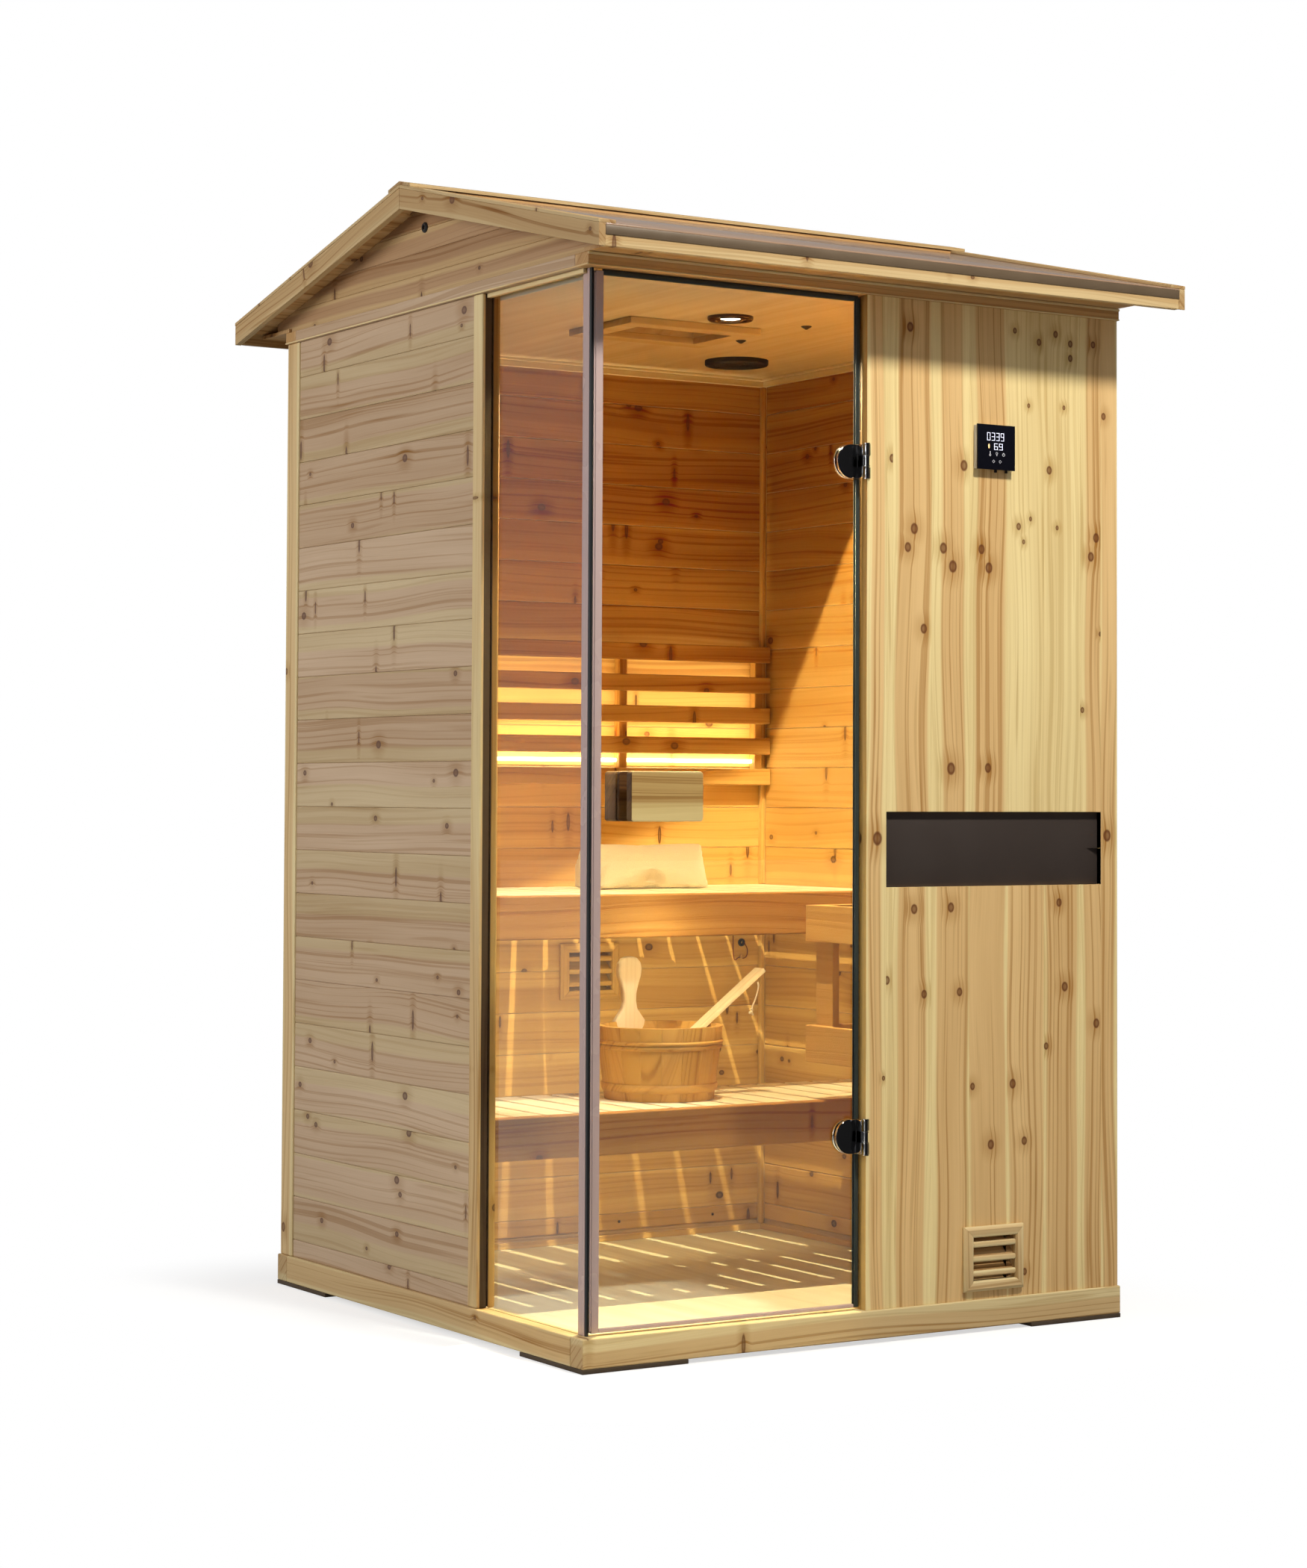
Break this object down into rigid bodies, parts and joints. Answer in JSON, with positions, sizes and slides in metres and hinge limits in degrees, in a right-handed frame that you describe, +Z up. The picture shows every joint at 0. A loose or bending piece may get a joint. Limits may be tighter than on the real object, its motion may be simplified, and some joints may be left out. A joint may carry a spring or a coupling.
{
  "type": "outdoor sauna cabin",
  "caption": "Free-standing timber sauna cabin with a low gable roof, a glazed corner, a hinged glass door, slatted benches, a backrest and a heater guard.",
  "frame": {"origin": "on the ground under the middle of the cabin", "axes": "+X right along the front, +Y from the front with the door to the back, +Z up"},
  "size_m": [1.42, 1.579, 2.3295],
  "materials": {
    "light_strip": "warm light strip",
    "bucket_wood": "pale staves",
    "lamp_glass": "lamp lens in a dark ring",
    "sauna_timber": "warm interior softwood",
    "black_plastic": "black plastic",
    "panel_plastic": "black glossy panel",
    "black_gasket": "black rubber",
    "polished_metal": "polished chrome",
    "handle_wood": "planed hardwood",
    "drip_metal": "plain metal strip",
    "floor_boards": "smooth floor boards",
    "rubber_pad": "black rubber pads",
    "towelling": "cream towelling",
    "pale_timber": "planed pale timber with knots",
    "roof_sheet": "brown glossy sheet",
    "tempered_glass": "clear tempered glass",
    "clear_profile": "translucent plastic",
    "cladding": "planed tongue and groove cladding",
    "slate": "dark smooth panel"
  },
  "bodies": {
    "cabin": {"back_vent": "sauna_timber", "back_wall": "cladding", "backrest_light": "light_strip", "backrest_ribs": "sauna_timber", "backrest_slats": "sauna_timber", "barge_boards": "pale_timber", "bench_bearers": "sauna_timber", "bench_front_rails": "sauna_timber", "bucket": "bucket_wood", "ceiling_light": "lamp_glass", "ceiling_panel": "sauna_timber", "ceiling_speaker": "black_plastic", "ceiling_vent_frame": "sauna_timber", "ceiling_vent_hatch": "sauna_timber", "control_panel": "panel_plastic", "corner_gasket": "black_gasket", "drip_strips": "drip_metal", "eave_fascias": "pale_timber", "eave_soffits": "cladding", "floor_panel": "floor_boards", "foot_pads": "rubber_pad", "front_vent": "pale_timber", "front_wall": "pale_timber", "gables": "cladding", "headrest": "towelling", "heater_guard": "sauna_timber", "hinge_leaves": "polished_metal", "ladle": "bucket_wood", "lower_bench_slats": "sauna_timber", "plinth_front_and_back": "pale_timber", "plinth_sides": "pale_timber", "ridge_cap": "pale_timber", "roof_decks": "cladding", "roof_sheets": "roof_sheet", "side_glass": "tempered_glass", "side_glass_profile": "clear_profile", "side_walls": "cladding", "slate_panel": "slate", "top_rails_front_and_back": "cladding", "top_rails_sides": "cladding", "upper_bench_slats": "sauna_timber", "verge_caps": "pale_timber", "wall_posts": "cladding"},
    "door": {"door_glass": "tempered_glass", "door_clear_seals": "clear_profile", "door_black_seals": "black_gasket", "door_clamps": "polished_metal", "door_handles": "handle_wood"}
  },
  "joints": [
    {"name": "door_hinge", "type": "hinge", "parent": "cabin", "child": "door", "pos_m": [-0.004, -0.655, 1.0735], "axis": [0, 0, 1], "range_deg": [0, 110]}
  ]
}
